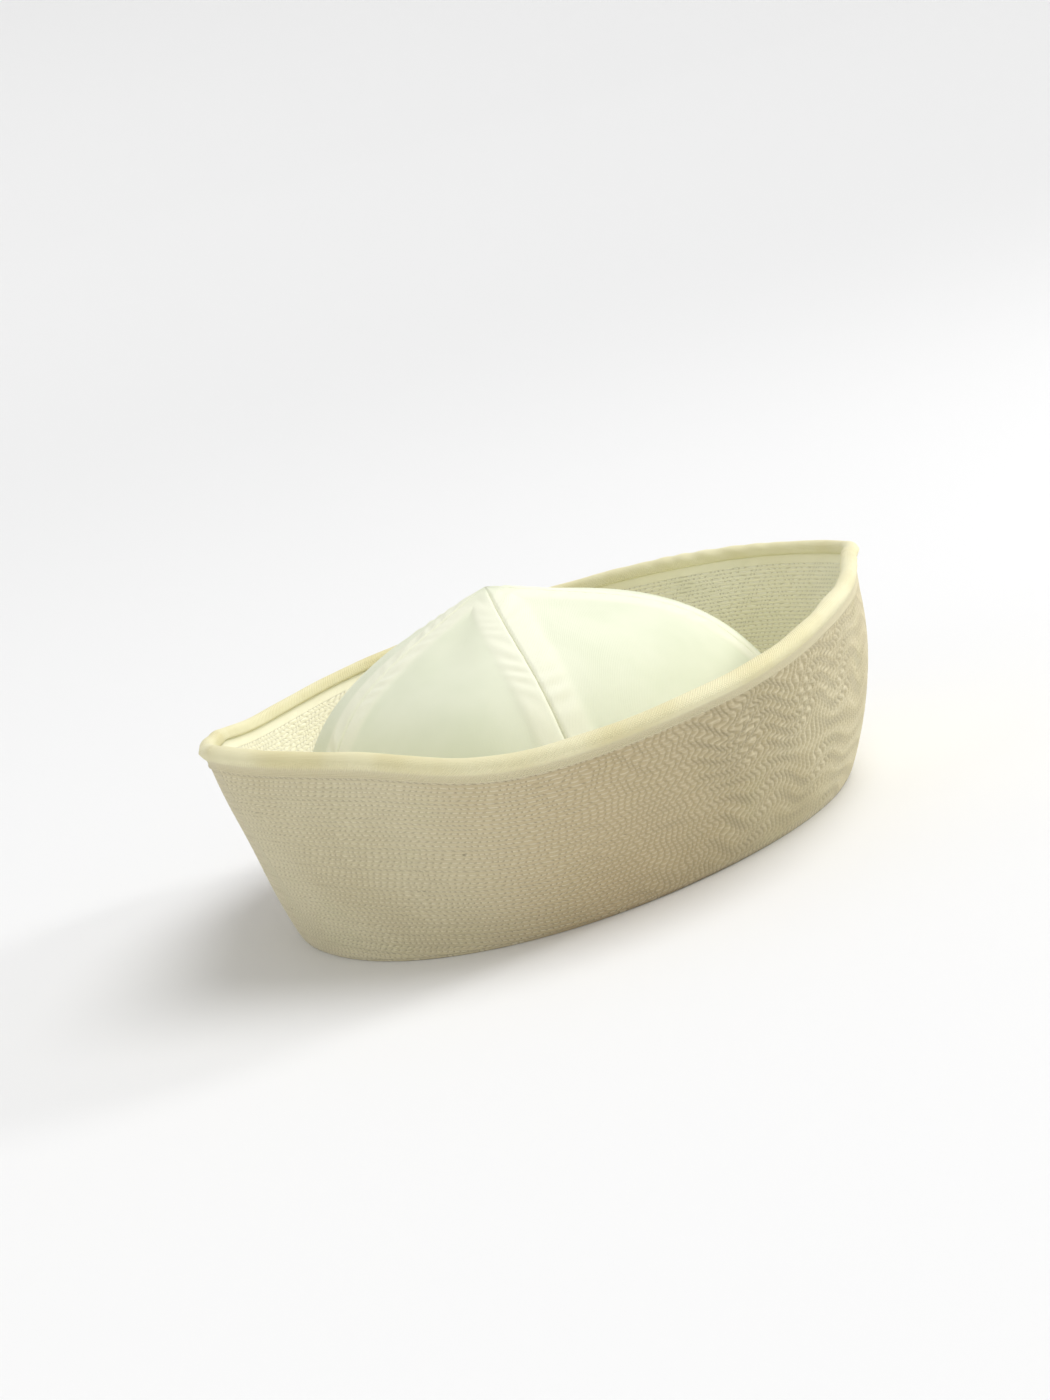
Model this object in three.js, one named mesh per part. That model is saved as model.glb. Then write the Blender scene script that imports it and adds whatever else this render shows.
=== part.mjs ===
// Sailor cap: a gored dome crown inside a stitched, turned-up brim with a rolled top edge.
// Millimetres, +Z up, base ring on z = 0. The front (over the forehead) faces -Y and the
// wearer's right is -X. Every angle runs from the front (0) round by the wearer's right (90)
// to the back (180); the left side mirrors the right.
import * as THREE from 'three';

// ---- driving dimensions -------------------------------------------------------------
const BASE = { halfLength: 100, halfWidth: 84, squareness: 2.13, widerBehind: 0.10 };
const BRIM = { thickness: 2.4, foldLedge: 2.2, foldHeight: 0.9, bottomChamfer: 0.7, top: 1.3 };
const BACK_CREASE = { reach: 3.4, lift: 2.6, spread: 7 };      // spread in degrees
const ROLL = { wall: 0.9, gap: 0.3, depth: 4.6 };
const CROWN = {
  height: 96.5, apexBehind: 9.0, apexEase: 2.6, coneShare: 0.37, sideCurve: 6.5,
  cloth: 1.2, gap: 0.35, goreCount: 5, firstSeam: 36, seamGap: 0.3, seamRidge: 1.0, tip: 0.018,
};
const MESH = { ringSteps: 96, crowdBack: 0.4, wallRows: 6, goreAcross: 8, goreUp: 12 };

// The turned-up brim, a row every 30 degrees from the front: how many degrees its wall leans
// out, how deep it is on the slant, and how far it bellies out half way up.
const BRIM_ROWS = [
  { place: 'front', lean: 24, depth: 75, belly: 3 },
  { place: 'front quarter', lean: 14, depth: 75, belly: 6 },
  { place: 'temple', lean: 18, depth: 75, belly: 6 },
  { place: 'ear', lean: 26, depth: 73, belly: 2 },
  { place: 'behind the ear', lean: 21, depth: 68, belly: 1 },
  { place: 'rear quarter', lean: 9, depth: 73, belly: 1 },
  { place: 'back', lean: 12, depth: 78, belly: 2 },
];

const rad = (deg) => (deg * Math.PI) / 180;
const power = (v, p) => Math.sign(v) * Math.abs(v) ** p;

// Smooth value of one table column at any angle; the table mirrors past the front and back.
function column(name, angle) {
  const last = BRIM_ROWS.length - 1;
  const folded = Math.abs(((angle + 180) % 360 + 360) % 360 - 180);
  const place = (folded / 180) * last;
  const row = Math.min(Math.floor(place), last - 1);
  const f = place - row;
  const at = (k) => BRIM_ROWS[k < 0 ? -k : k > last ? 2 * last - k : k][name];
  const [a, b, c, d] = [at(row - 1), at(row), at(row + 1), at(row + 2)];
  return b + 0.5 * f * (c - a + f * (2 * a - 5 * b + 4 * c - d + f * (3 * (b - c) + d - a)));
}

// Head-shaped base oval, brought in by an inset.
function baseOval(angle, inset = 0) {
  const s = Math.sin(rad(angle));
  const c = Math.cos(rad(angle));
  const p = 2 / BASE.squareness;
  const x = -(BASE.halfWidth) * (1 - BASE.widerBehind * c) * power(s, p);
  const y = -BASE.halfLength * power(c, p);
  const k = 1 - inset / Math.hypot(x, y);
  return new THREE.Vector3(x * k, y * k, 0);
}

// Outer face of the turned-up brim: t is 0 at the base fold and 1 at the very top.
function brimFace(angle, t) {
  const foot = baseOval(angle);
  const away = foot.clone().normalize();
  const fromBack = Math.abs(((angle % 360) + 360) % 360 - 180);
  const crease = Math.exp(-fromBack / BACK_CREASE.spread) * Math.max(t, 0) ** 1.4;
  const lean = rad(column('lean', angle));
  const depth = column('depth', angle);
  const out = depth * Math.sin(lean) * t + column('belly', angle) * 4 * t * (1 - t)
    + BACK_CREASE.reach * crease;
  const p = foot.addScaledVector(away, out);
  p.z = depth * Math.cos(lean) * t + BACK_CREASE.lift * crease;
  return p;
}

// Upward slope and outward normal of the brim's outer face.
function brimFrame(angle, t, step = 0.01) {
  const up = brimFace(angle, t + step).sub(brimFace(angle, t - step)).normalize();
  const along = brimFace(angle + 0.6, t).sub(brimFace(angle - 0.6, t)).normalize();
  return { up, normal: up.clone().cross(along).normalize() };
}

// Outer face of the crown: r is 0 at the peak and 1 at the lower edge.
function crownFace(angle, r) {
  const edge = baseOval(angle, BRIM.thickness + CROWN.gap);
  const lowest = BRIM.foldHeight + 0.3;
  const betweenSeams = Math.sin(rad(angle - CROWN.firstSeam) * (CROWN.goreCount / 2)) ** 2;
  const ridge = CROWN.seamRidge * (1 - betweenSeams) * Math.sin(Math.PI * Math.min(r, 1)) ** 2;
  const fall = CROWN.coneShare * r + (1 - CROWN.coneShare) * r ** CROWN.sideCurve;
  const p = edge.multiplyScalar(r);
  p.y += CROWN.apexBehind * (1 - r ** CROWN.apexEase);
  p.z = lowest + (CROWN.height - lowest) * (1 - fall) + ridge;
  return p;
}

function crownNormal(angle, r) {
  const down = crownFace(angle, r + 0.006).sub(crownFace(angle, Math.max(r - 0.006, 0.004)));
  const along = crownFace(angle + 0.6, r).sub(crownFace(angle - 0.6, r));
  return down.cross(along).negate().normalize();
}

// ---- solids -------------------------------------------------------------------------
function addMesh(name, points, triangles, look) {
  const geometry = new THREE.BufferGeometry();
  geometry.setAttribute('position', new THREE.Float32BufferAttribute(points.flat(), 3));
  geometry.setIndex(triangles.flat());
  let volume = 0;
  for (const [a, b, c] of triangles) {
    const [p, q, r] = [a, b, c].map((k) => new THREE.Vector3(...points[k]));
    volume += p.dot(q.cross(r)) / 6;
  }
  if (volume < 0) geometry.setIndex(triangles.map(([a, b, c]) => [a, c, b]).flat());
  geometry.computeVertexNormals();
  const mesh = new THREE.Mesh(geometry, new THREE.MeshStandardMaterial(look));
  mesh.name = name;
  group.add(mesh);
}

// A closed ring: the same closed section at each angle, joined to the next.
function ringSolid(name, sectionAt, look) {
  const sections = [];
  for (let k = 0; k < MESH.ringSteps; k += 1) {
    const even = (2 * Math.PI * k) / MESH.ringSteps;
    const angle = ((even + MESH.crowdBack * Math.sin(even)) * 180) / Math.PI;
    sections.push(sectionAt(angle));
  }
  const n = sections[0].length;
  const points = sections.flat().map((p) => [p.x, p.y, p.z]);
  const triangles = [];
  for (let k = 0; k < sections.length; k += 1) {
    const next = (k + 1) % sections.length;
    for (let i = 0; i < n; i += 1) {
      const j = (i + 1) % n;
      const [a, b, c, d] = [k * n + i, k * n + j, next * n + j, next * n + i];
      triangles.push([a, b, c], [a, c, d]);
    }
  }
  addMesh(name, points, triangles, look);
}

// A closed cloth panel: an outer and an inner grid of points with their edges joined.
function panelSolid(name, across, up, outerAt, innerAt, look) {
  const points = [];
  for (const side of [outerAt, innerAt]) {
    for (let i = 0; i <= across; i += 1) {
      for (let j = 0; j <= up; j += 1) {
        const p = side(i / across, j / up);
        points.push([p.x, p.y, p.z]);
      }
    }
  }
  const id = (side, i, j) => (side * (across + 1) + i) * (up + 1) + j;
  const triangles = [];
  const quad = (a, b, c, d) => triangles.push([a, b, c], [a, c, d]);
  for (let i = 0; i < across; i += 1) {
    for (let j = 0; j < up; j += 1) {
      quad(id(0, i, j), id(0, i + 1, j), id(0, i + 1, j + 1), id(0, i, j + 1));
      quad(id(1, i, j), id(1, i, j + 1), id(1, i + 1, j + 1), id(1, i + 1, j));
    }
  }
  for (let i = 0; i < across; i += 1) {
    quad(id(0, i + 1, 0), id(0, i, 0), id(1, i, 0), id(1, i + 1, 0));
    quad(id(0, i, up), id(0, i + 1, up), id(1, i + 1, up), id(1, i, up));
  }
  for (let j = 0; j < up; j += 1) {
    quad(id(0, 0, j), id(0, 0, j + 1), id(1, 0, j + 1), id(1, 0, j));
    quad(id(0, across, j + 1), id(0, across, j), id(1, across, j), id(1, across, j + 1));
  }
  addMesh(name, points, triangles, look);
}

// Brim wall: outer face down to the base fold, a flat foot, a ledge under the crown's edge,
// then the inner face back up to the top edge inside the rolled binding.
function brimSection(angle) {
  const slant = column('depth', angle);
  const top = 1 - BRIM.top / slant;
  const underRoll = 1 - (ROLL.depth + 0.8) / slant;
  const low = 1.1 / slant;
  const heights = [low, top];
  for (let k = 1; k < MESH.wallRows; k += 1) {
    heights.splice(-1, 0, low + ((underRoll - low) * k) / (MESH.wallRows - 1));
  }
  const loop = [...heights].reverse().map((t) => brimFace(angle, t));
  const foot = (inset, height) => baseOval(angle, inset).setZ(height);
  const ledge = BRIM.thickness + BRIM.foldLedge;
  loop.push(foot(BRIM.bottomChamfer, 0), foot(ledge - 0.4, 0), foot(ledge, 0.4));
  loop.push(foot(ledge, BRIM.foldHeight), foot(BRIM.thickness, BRIM.foldHeight));
  for (const t of heights.slice(1)) {
    loop.push(brimFace(angle, t).addScaledVector(brimFrame(angle, t).normal, -BRIM.thickness));
  }
  return loop;
}

// Rolled binding folded over the brim's top edge: a rounded cap with two short legs.
function rollSection(angle) {
  const { up, normal } = brimFrame(angle, 0.965, 0.035);
  const middle = brimFace(angle, 1).addScaledVector(normal, -BRIM.thickness / 2);
  const slot = BRIM.thickness / 2 + ROLL.gap;
  const side = slot + ROLL.wall;
  const floor = -BRIM.top + ROLL.gap;
  const outline = [
    [side - 0.3, -ROLL.depth], [side, -ROLL.depth + 1.2], [side, -1.7], [side * 0.78, -0.5],
    [side * 0.38, 0], [-side * 0.38, 0], [-side * 0.78, -0.5], [-side, -1.7],
    [-side, -ROLL.depth + 1.2], [-side + 0.3, -ROLL.depth], [-slot, -ROLL.depth],
    [-slot, floor], [slot, floor], [slot, -ROLL.depth],
  ];
  return outline.map(([across, along]) => middle.clone()
    .addScaledVector(normal, across).addScaledVector(up, along));
}

function goreSolid(index) {
  const width = 360 / CROWN.goreCount;
  const start = CROWN.firstSeam + index * width;
  const place = (u, v) => {
    const r = 1 - v * (1 - CROWN.tip);
    const reach = baseOval(start + u * width).length() * r;
    const half = (CROWN.seamGap / 2 / reach) * (180 / Math.PI);
    return [start + half + u * (width - 2 * half), r];
  };
  const outer = (u, v) => crownFace(...place(u, v));
  const inner = (u, v) => {
    const [angle, r] = place(u, v);
    const p = crownFace(angle, r).addScaledVector(crownNormal(angle, r), -CROWN.cloth);
    p.z = Math.max(p.z, BRIM.foldHeight + 0.3);
    return p;
  };
  panelSolid(`crown_gore_${index + 1}`, MESH.goreAcross, MESH.goreUp, outer, inner,
    { color: 0xf1f1e6, roughness: 0.9, metalness: 0 });
}

const group = new THREE.Group();
group.name = 'sailor_cap';
ringSolid('brim', brimSection, { color: 0xe6dfc6, roughness: 0.92, metalness: 0 });
ringSolid('rim_roll', rollSection, { color: 0xebe4c8, roughness: 0.88, metalness: 0 });
for (let index = 0; index < CROWN.goreCount; index += 1) goreSolid(index);

// Put the middle of the overall box over the origin.
const box = new THREE.Box3().setFromObject(group);
const shift = new THREE.Vector3(-(box.min.x + box.max.x) / 2, -(box.min.y + box.max.y) / 2, -box.min.z);
group.children.forEach((mesh) => mesh.geometry.translate(shift.x, shift.y, shift.z));

export default group;
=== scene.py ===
# Sailor cap: the cloth surfaces, materials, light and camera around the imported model.
import math
import bpy
import numpy as np
from mathutils import Matrix, Vector


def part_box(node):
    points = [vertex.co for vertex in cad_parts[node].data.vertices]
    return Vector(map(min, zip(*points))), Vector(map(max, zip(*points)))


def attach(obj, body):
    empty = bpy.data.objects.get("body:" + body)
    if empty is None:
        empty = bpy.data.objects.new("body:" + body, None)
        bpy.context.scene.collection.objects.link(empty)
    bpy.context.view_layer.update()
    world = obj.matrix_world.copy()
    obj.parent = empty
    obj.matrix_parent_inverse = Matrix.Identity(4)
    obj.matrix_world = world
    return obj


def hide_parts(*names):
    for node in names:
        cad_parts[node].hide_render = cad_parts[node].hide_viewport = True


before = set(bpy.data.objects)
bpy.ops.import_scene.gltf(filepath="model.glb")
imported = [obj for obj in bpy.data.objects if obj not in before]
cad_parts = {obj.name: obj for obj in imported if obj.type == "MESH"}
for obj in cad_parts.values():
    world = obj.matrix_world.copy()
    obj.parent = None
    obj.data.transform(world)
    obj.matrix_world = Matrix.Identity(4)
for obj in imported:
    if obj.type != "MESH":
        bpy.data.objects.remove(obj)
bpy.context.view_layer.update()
MM = 0.001

# ---- sizes, in millimetres and degrees (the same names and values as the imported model) ----
BASE = dict(length=100.0, width=84.0, square=2.13, behind=0.10)
THICK, LEDGE, FOLD = 2.4, 2.2, 0.9
CREASE = dict(reach=3.4, lift=2.6, spread=7.0)
ROLL = dict(side=2.4, depth=4.6)
CROWN = dict(height=96.5, behind=9.0, ease=2.6, cone=0.37, side=6.5, cloth=1.2, inset=2.75,
             gores=5, first=36.0, ridge=1.0)
# a row every 30 degrees from the front: lean of the wall in degrees, depth on the slant, belly
LEAN = [24, 14, 18, 26, 21, 9, 12]
DEPTH = [75, 75, 75, 73, 68, 73, 78]
BELLY = [3, 6, 6, 2, 1, 1, 2]

# stitching, measured down the slope from the top edge
STITCH = dict(first=8.6, pitch=1.5, length=2.35, smooth_foot=1.8)
# small dark marks on the outside of the brim
SPECKS = [dict(angle=184.0, down=60.0, size=0.7, dark=0.9),
          dict(angle=70.0, down=26.0, size=0.6, dark=0.75),
          dict(angle=88.0, down=61.0, size=0.5, dark=0.6),
          dict(angle=134.0, down=34.0, size=0.7, dark=0.35)]
QUICK = 1


def column(rows, angle):
    """Smooth value of a table at any angle; the table mirrors past the front and the back."""
    rows = np.array(rows, float)
    last = len(rows) - 1
    place = np.abs((np.asarray(angle, float) + 180) % 360 - 180) / 180 * last
    row = np.minimum(np.floor(place).astype(int), last - 1)
    f = place - row

    def at(k):
        return rows[np.where(k < 0, -k, np.where(k > last, 2 * last - k, k))]
    a, b, c, d = at(row - 1), at(row), at(row + 1), at(row + 2)
    return b + 0.5 * f * (c - a + f * (2 * a - 5 * b + 4 * c - d + f * (3 * (b - c) + d - a)))


def oval(angle, inset=0.0):
    s, c = np.sin(np.radians(angle)), np.cos(np.radians(angle))
    p = 2 / BASE["square"]
    x = -BASE["width"] * (1 - BASE["behind"] * c) * np.sign(s) * np.abs(s) ** p
    y = -BASE["length"] * np.sign(c) * np.abs(c) ** p
    k = 1 - inset / np.hypot(x, y)
    return x * k, y * k


def brim_face(angle, t):
    """Outer face of the turned-up wall: t is 0 at the fold and 1 at the very top."""
    angle, t = np.broadcast_arrays(np.asarray(angle, float), np.asarray(t, float))
    x, y = oval(angle)
    from_back = np.abs(angle % 360 - 180)
    crease = np.exp(-from_back / CREASE["spread"]) * np.maximum(t, 0) ** 1.4
    lean, depth = np.radians(column(LEAN, angle)), column(DEPTH, angle)
    out = depth * np.sin(lean) * t + column(BELLY, angle) * 4 * t * (1 - t) \
        + CREASE["reach"] * crease
    k = 1 + out / np.hypot(x, y)
    return np.stack([x * k, y * k, depth * np.cos(lean) * t + CREASE["lift"] * crease], -1)


def unit(v):
    return v / np.linalg.norm(v, axis=-1, keepdims=True)


def brim_frame(angle, t, step=0.01):
    up = unit(brim_face(angle, t + step) - brim_face(angle, t - step))
    along = unit(brim_face(angle + 0.6, t) - brim_face(angle - 0.6, t))
    return up, unit(np.cross(up, along))


def slant_of(angle):
    return column(DEPTH, angle)


def crown_face(angle, r):
    angle, r = np.broadcast_arrays(np.asarray(angle, float), np.asarray(r, float))
    x, y = oval(angle, CROWN["inset"])
    low = FOLD + 0.3
    between = np.sin(np.radians(angle - CROWN["first"]) * CROWN["gores"] / 2) ** 2
    ridge = CROWN["ridge"] * (1 - between) * np.sin(np.pi * np.minimum(r, 1)) ** 2
    fall = CROWN["cone"] * r + (1 - CROWN["cone"]) * r ** CROWN["side"]
    return np.stack([x * r, y * r + CROWN["behind"] * (1 - r ** CROWN["ease"]),
                     low + (CROWN["height"] - low) * (1 - fall) + ridge], -1)


def crown_normal(angle, r):
    down = crown_face(angle, r + 0.006) - crown_face(angle, np.maximum(r - 0.006, 0.002))
    along = crown_face(angle + 0.6, r) - crown_face(angle - 0.6, r)
    return -unit(np.cross(down, along))


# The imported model's own place: its rim tells how far the base oval sits from the origin.
ring = brim_face(np.arange(0, 360, 1.0), 1.0)
rim_low, rim_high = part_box("rim_roll")
SHIFT = np.array([0, (rim_low[1] + rim_high[1]) / 2 / MM - (ring[:, 1].min() + ring[:, 1].max()) / 2, 0])

# Even steps round the brim: angle and distance along at half height.
_fine = np.linspace(0, 360, 3601)
_mid = brim_face(_fine, 0.55)
_run = np.concatenate([[0], np.cumsum(np.linalg.norm(np.diff(_mid, axis=0), axis=1))])
ROUND = _run[-1]


def angle_at(run):
    return np.interp(run, _run, _fine)


def ripple(a, d, seed, waves, deep):
    """Smooth wandering value, the same after one turn round the cap."""
    rng = np.random.default_rng(seed)
    total = 0
    for _ in range(7):
        k, m, phase = rng.integers(1, waves + 1), rng.uniform(-1, 1) / deep, rng.uniform(0, 6.28)
        total = total + rng.uniform(0.5, 1) * np.sin(2 * np.pi * (k * a + m * d) + phase)
    return total / 2.6


# ---- mesh building ------------------------------------------------------------------
def build(name, points, faces, along, values, ends=()):
    """One piece from points in millimetres; along holds each face corner's cloth coordinates,
    and values holds named numbers for each point, which the materials read. Each of ends is
    a row of points round a cut end, closed by one flat face."""
    mesh = bpy.data.meshes.new(name)
    mesh.vertices.add(len(points))
    mesh.vertices.foreach_set("co", ((points + SHIFT) * MM).astype(np.float32).ravel())
    sizes = np.concatenate([np.full(len(faces), 4), [len(end) for end in ends]]).astype(np.int32)
    corners = np.concatenate([faces.ravel(), *ends]).astype(np.int32)
    mesh.loops.add(len(corners))
    mesh.loops.foreach_set("vertex_index", corners)
    mesh.polygons.add(len(sizes))
    mesh.polygons.foreach_set("loop_start", (np.cumsum(sizes) - sizes).astype(np.int32))
    mesh.update(calc_edges=True)
    mesh.polygons.foreach_set("use_smooth", np.arange(len(sizes)) < len(faces))
    layer = mesh.uv_layers.new(name="cloth")
    layer.data.foreach_set("uv", along.astype(np.float32).ravel())
    for key, numbers in values.items():
        attribute = mesh.attributes.new(key, "FLOAT", "POINT")
        attribute.data.foreach_set("value", numbers.astype(np.float32).ravel())
    mesh.validate()
    piece = bpy.data.objects.new(name, mesh)
    bpy.context.scene.collection.objects.link(piece)
    return piece


def loop_grid(name, sections, runs, downs, values, closed):
    """Sections (columns, points, 3) of one closed loop each, joined column to column."""
    cols, n = sections.shape[:2]
    u = np.broadcast_to(runs if runs.ndim == 2 else runs[:, None], (cols, n))
    ids = np.arange(cols * n).reshape(cols, n)
    a = ids if closed else ids[:-1]
    b = np.roll(ids, -1, axis=0) if closed else ids[1:]
    quads = np.stack([a, np.roll(a, -1, 1), np.roll(b, -1, 1), b], -1).reshape(-1, 4)
    nxt = u[1:] if not closed else np.concatenate([u[1:], u[:1] + ROUND])
    u0 = u if closed else u[:-1]
    nxt_v = np.roll(nxt, -1, 1)
    v = downs if closed else downs[:-1]
    vb = np.roll(downs, -1, axis=0) if closed else downs[1:]
    uv = np.stack([np.stack([u0, v], -1), np.stack([np.roll(u0, -1, 1), np.roll(v, -1, 1)], -1),
                   np.stack([nxt_v, np.roll(vb, -1, 1)], -1), np.stack([nxt, vb], -1)], 2)
    uv = uv.reshape(-1, 2)
    ends = () if closed else (ids[0], ids[-1][::-1])
    for end in ends:
        uv = np.concatenate([uv, np.stack([u.ravel()[end], downs.ravel()[end]], -1)])
    return build(name, sections.reshape(-1, 3), quads, uv, values, ends)


# ---- brim cloth ---------------------------------------------------------------------
RIDGES = round(ROUND / STITCH["length"])


def stitch_phase(a, d):
    """Stitches counted along a row; from row to row they slip forward and back in a zigzag."""
    swing = 0.5 - 0.5 * np.cos(2 * np.pi * (d / 7.6 + 11 * a + 0.75 * ripple(a, d, 5, 28, 50)))
    turn = np.abs(a - np.round(a)) * 360
    ahead = 1 / (1 + np.exp((turn - 118) / 8))
    reach = (0.35 + 0.65 * ahead) * (1.0 + 0.35 * ripple(a, d, 17, 19, 30))
    row = (d - STITCH["first"]) / STITCH["pitch"]
    slip = (1 - ahead) * (0.28 * np.sin(2.4 * row) + 0.22 * np.sin(5.1 * row))
    return RIDGES * a + reach * swing + slip + 0.7 * ripple(a, d, 11, 30, 26)


def ridge_strength(a, d):
    """Puckered ridges: bold from the front to the side, quiet by the ear, mild behind."""
    turn = np.abs(a - np.round(a)) * 360
    uneven = 0.80 + 0.20 * np.tanh(1.3 * ripple(a, d, 23, 7, 90))
    return uneven * (0.32 + 0.66 * np.exp(-((turn - 66) / 40) ** 4)
                     + 0.22 * np.exp(-((turn - 156) / 16) ** 2) * np.clip(d / 45, 0, 1)
                     - 0.24 * np.exp(-((turn - 128) / 13) ** 2))


def ridge_strength_inside(a):
    turn = np.abs(a - np.round(a)) * 360
    return 0.10 + 0.36 / (1 + np.exp((52 - turn) / 5))


def relief(a, d, slant, inside):
    """Height of the stitched cloth: rows, stitch puckers and the ridges that zigzag across."""
    rows = (d - STITCH["first"]) / STITCH["pitch"]
    stitched = 1 / (1 + np.exp(-(d - STITCH["first"] + 0.3) * 5))
    stitched = stitched / (1 + np.exp((d - slant + STITCH["smooth_foot"] + 0.6) * 4))
    wave = np.sin(2 * np.pi * stitch_phase(a, d))
    in_row = (0.5 + 0.5 * np.cos(2 * np.pi * rows)) ** 1.5
    strength = ridge_strength_inside(a) if inside else ridge_strength(a, d)
    puff = 0.50 * strength * wave * (1 - 0.22 * in_row)
    groove = -0.13 * in_row * (1 - 0.5 * wave) * (1 - 0.6 * strength)
    return stitched * (groove + puff) + 0.35 * ripple(a, d, 31, 6, 45)


def calm(angle):
    """No relief on the sharp crease at the back, where it would fold over itself."""
    return 1 - np.exp(-((angle - 180) / 1.5) ** 2)


def brim_half(name, start, end):
    columns = 740 // QUICK
    rows = 118 // QUICK
    runs = np.linspace(start, end, columns + 1)
    angle = angle_at(runs)[:, None]
    slant = slant_of(angle)
    low = 1.1 / slant
    top = 1 - 1.3 / slant
    t = top + (low - top) * np.linspace(0, 1, rows)[None, :]
    d = (1 - t) * slant
    normal = brim_frame(angle, t)[1]
    face = brim_face(angle, t) \
        + normal * (calm(angle) * relief(runs[:, None] / ROUND, d, slant, False))[..., None]
    fold = []
    for inset, z in ((-0.1, 0.85), (0.05, 0.45), (0.35, 0.12), (0.8, 0.0), (2.4, 0.0), (4.2, 0.0),
                     (4.5, 0.15), (4.6, 0.45), (4.5, 0.8), (4.2, 0.9), (2.6, 0.95)):
        x, y = oval(angle[:, 0], inset)
        fold.append(np.stack([x, y, np.full_like(x, z)], -1))
    fold = np.stack(fold, 1)
    heights = low + (top - low) * np.linspace(0.03, 1, 5)[None, :]
    back = brim_face(angle, heights) - 1.15 * brim_frame(angle, heights)[1]
    sections = np.concatenate([face, fold, back], 1)
    downs = np.concatenate([d, np.repeat(slant + 1.0, fold.shape[1], 1),
                            (1 - heights) * slant], 1)
    along = stitch_phase(runs[:, None] / ROUND, downs) * ROUND / RIDGES
    # painted shade: a warm darker band round the side, about 110 degrees from the front and stronger towards
    # the bottom, stands in for the shade there
    turn = 180 - np.abs(angle - 180)
    warm_painted_shade = np.exp(-((turn - 110) / 26) ** 2) * (0.75 + 0.25 * downs / slant)
    ridge = ridge_strength(runs[:, None] / ROUND, downs)
    return loop_grid(name, sections, along, downs, {"tone_and_painted_shade": warm_painted_shade, "ridge": ridge}, closed=False)


def brim_inner():
    columns = 860 // QUICK
    rows = 108 // QUICK
    runs = np.linspace(0, ROUND, columns, endpoint=False)
    angle = angle_at(runs)[:, None]
    slant = slant_of(angle)
    low = 1.6 / slant
    top = 1 - 1.3 / slant
    t = low + (top - low) * np.linspace(0, 1, rows)[None, :]
    d = (1 - t) * slant
    normal = brim_frame(angle, t)[1]
    face = brim_face(angle, t) \
        - normal * (THICK + calm(angle) * relief(runs[:, None] / ROUND, d, slant, True))[..., None]
    heights = top + (low - top) * np.linspace(0, 1, 5)[None, :]
    back = brim_face(angle, heights) - 1.25 * brim_frame(angle, heights)[1]
    sections = np.concatenate([face, back], 1)
    downs = np.concatenate([d, (1 - heights) * slant], 1)
    along = stitch_phase(runs[:, None] / ROUND, downs) * ROUND / RIDGES
    values = {"tone_and_painted_shade": np.zeros_like(downs), "ridge": 0 * downs + ridge_strength_inside(runs / ROUND)[:, None]}
    return loop_grid("brim_inner_ply", sections, along, downs, values, closed=True)


def rim_roll():
    """Strip rolled over the top edge: a round top, a long outer leg lying down on the brim
    with a raised line along its lower edge, and a short inner leg."""
    columns = 1500 // QUICK
    runs = np.linspace(0, ROUND, columns, endpoint=False)
    a = runs / ROUND
    angle = angle_at(runs)
    slant = slant_of(angle)
    up, normal = brim_frame(angle, 0.965, 0.035)
    middle = brim_face(angle, 1.0) - normal * THICK / 2
    side, depth = ROLL["side"], ROLL["depth"]
    leg = [(1.15, -8.0), (1.45, -8.02), (1.80, -7.75), (1.82, -7.45), (1.62, -7.1), (1.56, -6.3),
           (1.60, -5.6), (1.86, -4.9), (2.40, -4.2), (2.84, -3.3)]
    arc = np.radians(np.linspace(0, 180, 17))
    top = [((side + 0.6 if q < 1.57 else side) * math.cos(q), -2.3 + 2.4 * math.sin(q)) for q in arc]
    inner = [(-side, -depth + 0.9), (-side + 0.12, -depth + 0.35), (-side + 0.5, -depth),
             (-1.55, -depth), (-1.55, -1.0), (1.2, -1.0), (1.2, -depth)]
    turn = np.minimum(a, 1 - a) * 360
    gather = np.exp(-((turn - 26) / 15) ** 2) + 0.35 * np.exp(-((turn - 176) / 12) ** 2)
    sections = []
    for m, s in leg + top + inner:
        drag = np.sin(2 * np.pi * (74 * a + 0.10 * s + 0.5 * ripple(a, s, 3, 24, 40)))
        swell = 0.24 * ripple(a, s, 8, 34, 60) + 0.30 * gather * drag
        if (m, s) in leg:
            free = 0 if s < -7.9 else 1
            sections.append(brim_face(angle, 1 + s / slant)
                            + normal * (m - THICK / 2 + free * (0.35 * ripple(a, -s, 31, 6, 45)
                                                                + 0.2 * swell))[:, None])
        elif (m, s) in top:
            sections.append(middle + normal * (m * (1 + swell / side))[:, None]
                            + up * (s + 0.5 * swell)[:, None])
        else:
            sections.append(middle + normal * m + up * s)
    sections = np.stack(sections, 1)
    outline = leg + top + inner
    down = np.cumsum([0] + [math.dist(outline[i], outline[i + 1]) for i in range(len(outline) - 1)])
    downs = np.repeat(down[None, :], columns, 0)
    # the leg under the roll is darker: partly the cloth's own colour and partly painted shade beneath the roll
    leg_colour_and_shade = np.array([1 / (1 + math.exp((s + 4.9) * 3)) if (m, s) in leg else 0 for m, s in outline])
    return loop_grid("rim_roll_strip", sections, runs, downs,
                     {"tone_and_painted_shade": np.repeat(leg_colour_and_shade[None, :], columns, 0)}, closed=True)


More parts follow.
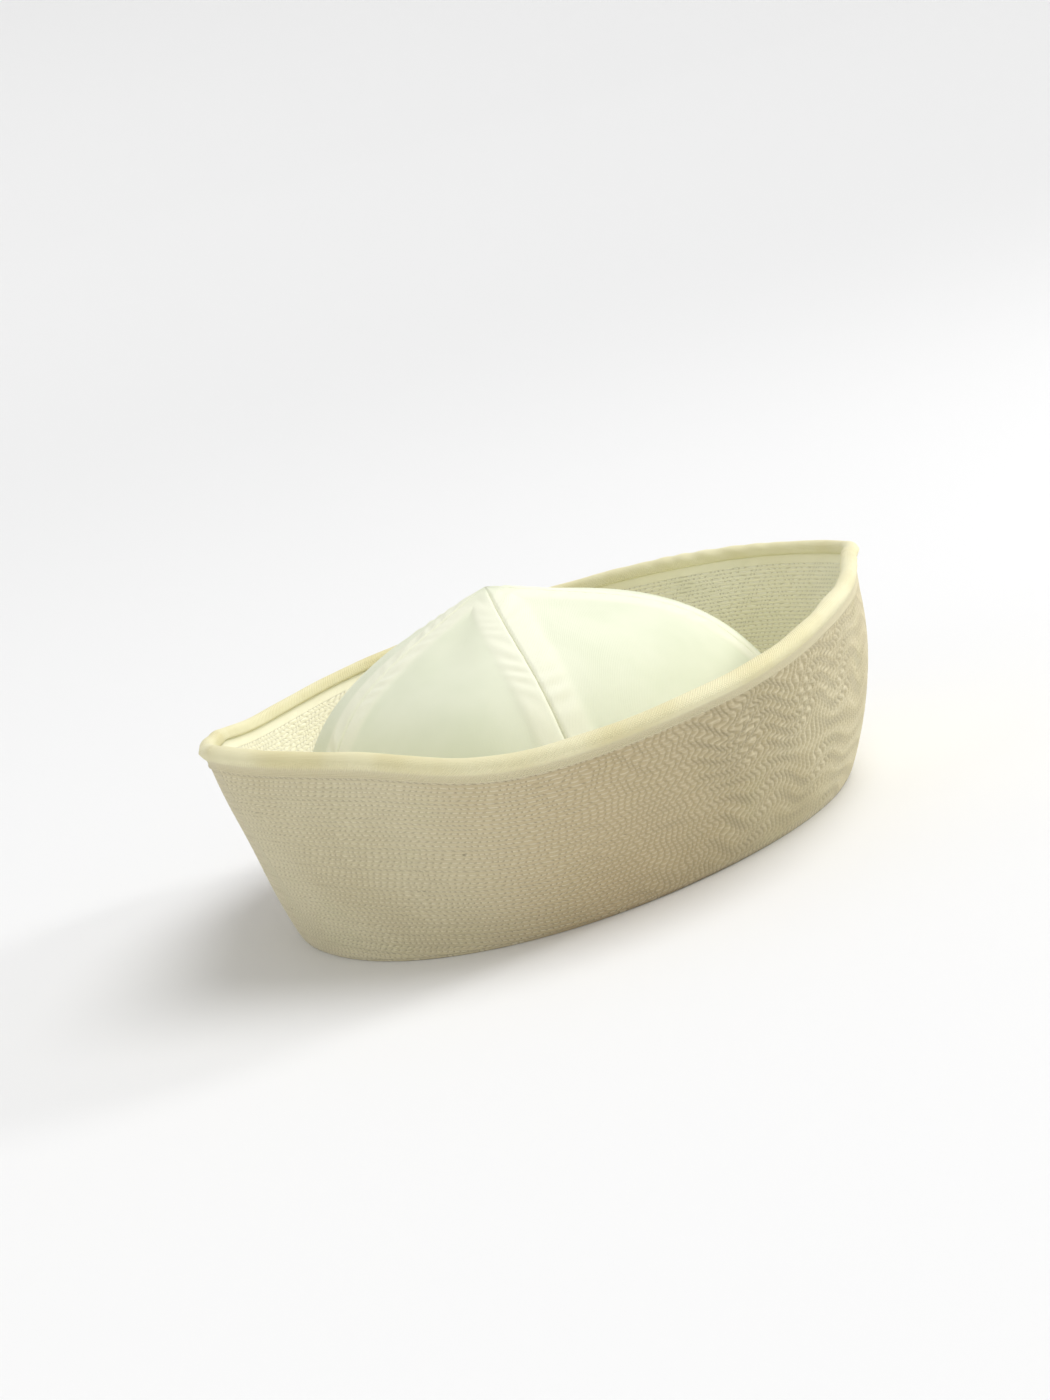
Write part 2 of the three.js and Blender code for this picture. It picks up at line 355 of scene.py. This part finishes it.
# ---- crown gores --------------------------------------------------------------------
def gore(index):
    across, up = 84 // QUICK, 130 // QUICK
    width = 360 / CROWN["gores"]
    start = CROWN["first"] + index * width
    u = (1 - np.cos(np.linspace(0, np.pi, across + 1))) / 2
    u = 0.5 * u + 0.5 * np.linspace(0, 1, across + 1)
    r = 1 - np.linspace(0, 1, up + 1) * 0.994
    u, r = np.meshgrid(u, r, indexing="ij")
    x, y = oval(start + u * width)
    reach = np.hypot(x, y) * r
    half = np.degrees(0.04 / reach)
    angle = start + half + u * (width - 2 * half)
    outer, normal = crown_face(angle, r), crown_normal(angle, r)
    left = np.radians(angle - start) * reach
    right = np.radians(start + width - angle) * reach
    edge = np.minimum(left, right)
    turn = angle / 360
    # seam allowances pressed open under the cloth, puckered by the stitching
    allowance = 1 / (1 + np.exp((edge - 8.6) * 1.5))
    pucker = np.sin(reach * 0.9 + 2.2 * np.sin(reach * 0.21 + index) + edge * 0.5)
    pucker = pucker * np.exp(-((edge - 4.2) / 3.4) ** 2) * (0.6 + 0.4 * np.sin(reach * 0.13 + 2 * index))
    sunk = -0.75 * np.exp(-(edge / 0.55) ** 2)
    waves = 0.55 * ripple(turn, r * 60, 50, 9, 40)
    height = 0.50 * allowance + 0.30 * pucker + sunk + waves * np.sin(np.pi * np.minimum(r, 1)) \
        * (1 - allowance)
    height = height * np.minimum(1, (1.0 - r) * 14 + 0.15) * np.minimum(1, r * 12)
    face = outer + normal * height[..., None]
    inner = outer - normal * CROWN["cloth"]
    inner[..., 2] = np.maximum(inner[..., 2], FOLD + 0.3)
    n_i, n_j = u.shape
    ids = np.arange(2 * n_i * n_j).reshape(2, n_i, n_j)
    o, w = ids
    quads = [np.stack([o[:-1, :-1], o[:-1, 1:], o[1:, 1:], o[1:, :-1]], -1).reshape(-1, 4),
             np.stack([w[:-1, :-1], w[1:, :-1], w[1:, 1:], w[:-1, 1:]], -1).reshape(-1, 4)]
    rim = np.concatenate([o[:, 0], o[-1, 1:], o[-2::-1, -1], o[0, -2:0:-1]])
    rim_in = np.concatenate([w[:, 0], w[-1, 1:], w[-2::-1, -1], w[0, -2:0:-1]])
    quads.append(np.stack([rim, np.roll(rim, -1), np.roll(rim_in, -1), rim_in], -1))
    quads = np.concatenate(quads)
    points = np.concatenate([face.reshape(-1, 3), inner.reshape(-1, 3)])
    drop = np.cumsum(np.linalg.norm(np.diff(outer, axis=1, prepend=outer[:, :1]), axis=2), 1)
    flat = np.stack([(left - right) / 2, drop], -1).reshape(-1, 2)
    flat = np.concatenate([flat, flat])
    tone_and_painted_shade = np.concatenate([(allowance * np.minimum(1, r * 8)).ravel()] * 2)
    return build("crown_gore_cloth_%d" % (index + 1), points, quads,
                 flat[quads.ravel()], {"tone_and_painted_shade": tone_and_painted_shade})


# ---- materials ----------------------------------------------------------------------
def srgb(r, g, b):
    def lin(c):
        c = c / 255
        return c / 12.92 if c <= 0.04045 else ((c + 0.055) / 1.055) ** 2.4
    return (lin(r), lin(g), lin(b), 1.0)


class Nodes:
    """Short hands for building one material's node tree."""

    def __init__(self, name, roughness, sheen):
        self.material = bpy.data.materials.new(name)
        self.material.use_nodes = True
        self.tree = self.material.node_tree
        self.tree.nodes.clear()
        out = self.tree.nodes.new("ShaderNodeOutputMaterial")
        self.shader = self.tree.nodes.new("ShaderNodeBsdfPrincipled")
        self.tree.links.new(self.shader.outputs[0], out.inputs[0])
        self.shader.inputs["Roughness"].default_value = roughness
        self.shader.inputs["Specular IOR Level"].default_value = 0.2
        self.shader.inputs["Sheen Weight"].default_value = sheen
        self.shader.inputs["Sheen Roughness"].default_value = 0.6

    def new(self, kind, **values):
        node = self.tree.nodes.new(kind)
        for key, value in values.items():
            setattr(node, key, value)
        return node

    def put(self, socket, value):
        if hasattr(value, "is_output"):
            self.tree.links.new(value, socket)
        else:
            socket.default_value = value

    def math(self, kind, a, b=0.0, clamp=False):
        node = self.new("ShaderNodeMath", operation=kind, use_clamp=clamp)
        self.put(node.inputs[0], a)
        self.put(node.inputs[1], b)
        return node.outputs[0]

    def mix(self, factor, a, b):
        node = self.new("ShaderNodeMix", data_type="RGBA")
        self.put(node.inputs[0], factor)
        self.put(node.inputs[6], a)
        self.put(node.inputs[7], b)
        return node.outputs[2]

    def step(self, value, low, high):
        node = self.new("ShaderNodeMapRange", interpolation_type="SMOOTHSTEP")
        self.put(node.inputs[0], value)
        node.inputs[1].default_value, node.inputs[2].default_value = low, high
        return node.outputs[0]

    def cloth(self):
        uv = self.new("ShaderNodeUVMap", uv_map="cloth")
        split = self.new("ShaderNodeSeparateXYZ")
        self.put(split.inputs[0], uv.outputs[0])
        return split.outputs[0], split.outputs[1]

    def value(self, name):
        return self.new("ShaderNodeAttribute", attribute_name=name).outputs["Fac"]

    def spot(self, u, v, speck):
        """Faint to full dark mark round one place on the cloth."""
        a = speck["angle"]
        d = speck["down"]
        middle = stitch_phase(np.interp(a, _fine, _run) / ROUND, d) * ROUND / RIDGES
        across = self.math("POWER", self.math("SUBTRACT", u, float(middle)), 2.0)
        along = self.math("POWER", self.math("SUBTRACT", v, d), 2.0)
        away = self.math("SQRT", self.math("ADD", across, along))
        inside = self.math("SUBTRACT", 1.0, self.step(away, speck["size"] * 0.6, speck["size"]))
        return self.math("MULTIPLY", inside, speck["dark"])

    def noise(self, scale, detail=3.0):
        place = self.new("ShaderNodeTexCoord")
        node = self.new("ShaderNodeTexNoise")
        self.put(node.inputs["Vector"], place.outputs["Object"])
        node.inputs["Scale"].default_value = scale
        node.inputs["Detail"].default_value = detail
        return node.outputs["Fac"]

    def twill(self, u, v, pitch):
        """Diagonal ribs crossed by the finer threads of a twill weave."""
        rib = self.math("SINE", self.math("MULTIPLY", self.math("ADD", u, self.math("MULTIPLY", v, 0.8)),
                                          6.283 / pitch))
        thread = self.math("SINE", self.math("MULTIPLY", v, 6.283 / (pitch * 0.62)))
        return self.math("ADD", self.math("MULTIPLY", rib, 0.5), self.math("MULTIPLY", thread, 0.25))

    def bump(self, height, distance, strength=1.0):
        node = self.new("ShaderNodeBump")
        self.put(node.inputs["Height"], height)
        node.inputs["Distance"].default_value = distance
        node.inputs["Strength"].default_value = strength
        self.put(self.shader.inputs["Normal"], node.outputs[0])


def stitched_cloth(name, light, deep, warm_painted_shade, thread_colour, specks):
    n = Nodes(name, 0.88, 0.15)
    u, v = n.cloth()
    row = n.math("DIVIDE", n.math("SUBTRACT", v, STITCH["first"]), STITCH["pitch"])
    near = n.math("ABSOLUTE", n.math("SUBTRACT", row, n.math("ROUND", row)))
    line = n.math("SUBTRACT", 1.0, n.step(near, 0.07, 0.24))
    stitched = n.step(v, STITCH["first"] - 0.6, STITCH["first"] - 0.2)
    line = n.math("MULTIPLY", line, stitched)
    place = n.math("ADD", n.math("MULTIPLY", u, RIDGES / ROUND), 0.25)
    dash = n.math("ABSOLUTE", n.math("SUBTRACT", n.math("FRACT", place), 0.5))
    dash = n.math("SUBTRACT", 1.0, n.step(dash, 0.30, 0.44))
    thread = n.math("MULTIPLY", line, dash)
    hole = n.math("MULTIPLY", line, n.math("SUBTRACT", 1.0, dash))
    age = n.step(n.noise(22.0, 4.0), 0.38, 0.68)
    colour = n.mix(n.math("MULTIPLY", age, 0.55), light, deep)
    patch = n.step(n.noise(60.0, 3.0), 0.52, 0.75)
    colour = n.mix(n.math("MULTIPLY", patch, 0.16), colour, srgb(196, 198, 150))
    # painted shade: the tone value mixes in the warm darker colour on the outer brim's shaded side
    colour = n.mix(n.math("MULTIPLY", n.value("tone_and_painted_shade"), 0.75), colour, warm_painted_shade)
    ridge = n.value("ridge")
    # painted shade: the cloth darkened in the valleys between the puckered ridges
    wave = n.math("SINE", n.math("MULTIPLY", u, 2 * math.pi * RIDGES / ROUND))
    painted_valley_shade = n.math("MULTIPLY", n.math("SUBTRACT", 0.5, n.math("MULTIPLY", wave, 0.5)), ridge)
    painted_valley_shade = n.math("MULTIPLY", painted_valley_shade, stitched)
    colour = n.mix(n.math("MULTIPLY", painted_valley_shade, 0.36), colour, srgb(150, 136, 98))
    shows = n.math("SUBTRACT", 1.0, n.math("MULTIPLY", ridge, 0.75), clamp=True)
    colour = n.mix(n.math("MULTIPLY", n.math("MULTIPLY", thread, shows), 0.6), colour, thread_colour)
    # painted shade: the cloth darkened in the gaps between stitches along each row
    colour = n.mix(n.math("MULTIPLY", n.math("MULTIPLY", hole, shows), 0.25), colour, srgb(150, 134, 98))
    for speck in specks:
        colour = n.mix(n.spot(u, v, speck), colour, srgb(74, 62, 44))
    n.put(n.shader.inputs["Base Color"], colour)
    height = n.math("MULTIPLY", n.math("SUBTRACT", thread, hole), shows)
    height = n.math("ADD", height, n.math("MULTIPLY", n.twill(u, v, 0.62), 0.18))
    n.bump(height, 0.00016)
    return n.material


def plain_cloth(name, light, deep, raised, pitch, depth, sheen):
    n = Nodes(name, 0.86, sheen)
    u, v = n.cloth()
    colour = n.mix(n.step(n.noise(30.0), 0.35, 0.7), light, deep)
    # the tone value gives the whiter doubled cloth over the crown's seam allowances, and on the rim strip a
    # darker leg under the roll that is partly its own colour and partly painted shade
    colour = n.mix(n.math("MULTIPLY", n.value("tone_and_painted_shade"), 0.9), colour, raised)
    fleck = n.step(n.noise(900.0, 2.0), 0.45, 0.75)
    colour = n.mix(n.math("MULTIPLY", fleck, 0.10), colour, deep)
    ribs = n.twill(u, v, pitch)
    # painted shade: the cloth darkened in the low troughs of the twill ribs
    colour = n.mix(n.math("MULTIPLY", n.step(ribs, 0.1, -0.6), 0.22), colour, deep)
    n.put(n.shader.inputs["Base Color"], colour)
    n.bump(ribs, depth)
    return n.material


# The outer and inner brim faces are one cloth: the outer's darker, warmer colours are painted shade, the
# inner's paler colours painted light.
MATERIALS = {
    "outer": stitched_cloth("brim_outer_cloth_painted_shade", srgb(217, 208, 174), srgb(202, 190, 153),
                            srgb(190, 168, 128), srgb(238, 230, 202), SPECKS),
    "inner": stitched_cloth("brim_inner_cloth_painted_light", srgb(250, 246, 218), srgb(244, 237, 200),
                            srgb(210, 198, 160), srgb(252, 249, 230), []),
    "roll": plain_cloth("rim_cloth_rolled", srgb(246, 240, 200), srgb(232, 222, 172),
                        srgb(216, 206, 172), 0.85, 0.00014, 0.2),
    "crown": plain_cloth("crown_cloth_white", srgb(235, 238, 214), srgb(226, 231, 204),
                         srgb(246, 246, 224), 0.55, 0.00004, 0.15),
}


def finish(piece, material, slot, *nodes):
    piece.data.materials.append(MATERIALS[material])
    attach(piece, "root")
    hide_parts(*nodes)


half_way = float(np.interp(180, _fine, _run))
pieces = [(brim_half("brim_outer_ply_right", 0.0, half_way), "outer", "brim_cloth", "brim"),
          (brim_half("brim_outer_ply_left", half_way, ROUND), "outer", "brim_cloth", "brim"),
          (brim_inner(), "inner", "brim_cloth", "brim"),
          (rim_roll(), "roll", "rim_cloth", "rim_roll")]
for index in range(CROWN["gores"]):
    pieces.append((gore(index), "crown", "crown_cloth", "crown_gore_%d" % (index + 1)))
for piece, material, slot, node in pieces:
    finish(piece, material, slot, node)

# ---- floor, light and camera --------------------------------------------------------
def stage_floor():
    # flat where the cap stands, rising far away so that no horizon shows
    profile = [(0.0, 0.0), (1.0, 0.0), (2.5, 0.0), (4.0, 0.02), (5.5, 0.25), (6.8, 0.9), (7.6, 1.9), (8.0, 3.2)]
    turns = 96
    points = [(r * math.cos(2 * math.pi * k / turns), r * math.sin(2 * math.pi * k / turns), z)
              for r, z in profile[1:] for k in range(turns)] + [(0.0, 0.0, 0.0)]
    faces = [(len(points) - 1, k, (k + 1) % turns) for k in range(turns)]
    for band in range(len(profile) - 2):
        for k in range(turns):
            a, b = band * turns + k, band * turns + (k + 1) % turns
            faces.append((a, a + turns, b + turns, b))
    mesh = bpy.data.meshes.new("floor")
    mesh.from_pydata(points, [], faces)
    mesh.polygons.foreach_set("use_smooth", [True] * len(faces))
    floor = bpy.data.objects.new("floor", mesh)
    bpy.context.scene.collection.objects.link(floor)
    material = bpy.data.materials.new("floor_pale")
    material.use_nodes = True
    shader = material.node_tree.nodes["Principled BSDF"]
    shader.inputs["Base Color"].default_value = (0.86, 0.86, 0.86, 1)
    shader.inputs["Roughness"].default_value = 0.9
    floor.data.materials.append(material)


def soft_light(name, place, aim, size, power, colour=(1, 1, 1)):
    data = bpy.data.lights.new(name, "AREA")
    data.shape = "DISK"
    data.size = size
    data.energy = power
    data.color = colour
    light = bpy.data.objects.new(name, data)
    light.location = place
    light.rotation_euler = (Vector(aim) - Vector(place)).to_track_quat("-Z", "Y").to_euler()
    bpy.context.scene.collection.objects.link(light)


def sun_light(name, towards, spread, power):
    data = bpy.data.lights.new(name, "SUN")
    data.angle = math.radians(spread)
    data.energy = power
    light = bpy.data.objects.new(name, data)
    light.rotation_euler = Vector(towards).to_track_quat("Z", "Y").to_euler()
    bpy.context.scene.collection.objects.link(light)


def set_camera():
    """From the wearer's right and a little behind, above the rim, the head tipped back."""
    behind, above, tip = math.radians(28), math.radians(15), math.radians(15.5)
    distance, aim_right, aim_up = 0.93, -0.021, 0.054
    back = Vector((-math.cos(behind) * math.cos(above), math.sin(behind) * math.cos(above),
                   math.sin(above)))
    right = Vector((-math.sin(behind), -math.cos(behind), 0))
    up = right.cross(-back)
    right, up = (right * math.cos(tip) - up * math.sin(tip),
                 right * math.sin(tip) + up * math.cos(tip))
    forward = (-back + right * aim_right + up * aim_up).normalized()
    right = (right - forward * right.dot(forward)).normalized()
    up = right.cross(forward)
    place = Vector(SHIFT * MM) + back * distance
    data = bpy.data.cameras.new("camera")
    data.sensor_fit = "HORIZONTAL"
    data.sensor_width = 36.0
    data.lens = 93
    data.clip_end = 100.0
    camera = bpy.data.objects.new("camera", data)
    rotation = Matrix((right, up, -forward)).transposed()
    camera.matrix_world = Matrix.Translation(place) @ rotation.to_4x4()
    bpy.context.scene.collection.objects.link(camera)
    bpy.context.scene.camera = camera


stage_floor()
sun_light("sky", (-0.30, -0.62, 1.35), 42.0, 1.6)
soft_light("front_side", (-0.55, -1.5, 0.75), (0, 0, 0.05), 0.35, 8.5)
soft_light("back_side", (-0.35, 1.5, 0.8), (0, 0, 0.05), 0.5, 1.2)
world = bpy.data.worlds.new("studio")
world.use_nodes = True
world.node_tree.nodes["Background"].inputs[0].default_value = (1, 1, 1, 1)
world.node_tree.nodes["Background"].inputs[1].default_value = 0.52
bpy.context.scene.world = world
bpy.context.scene.view_settings.view_transform = "Standard"
set_camera()
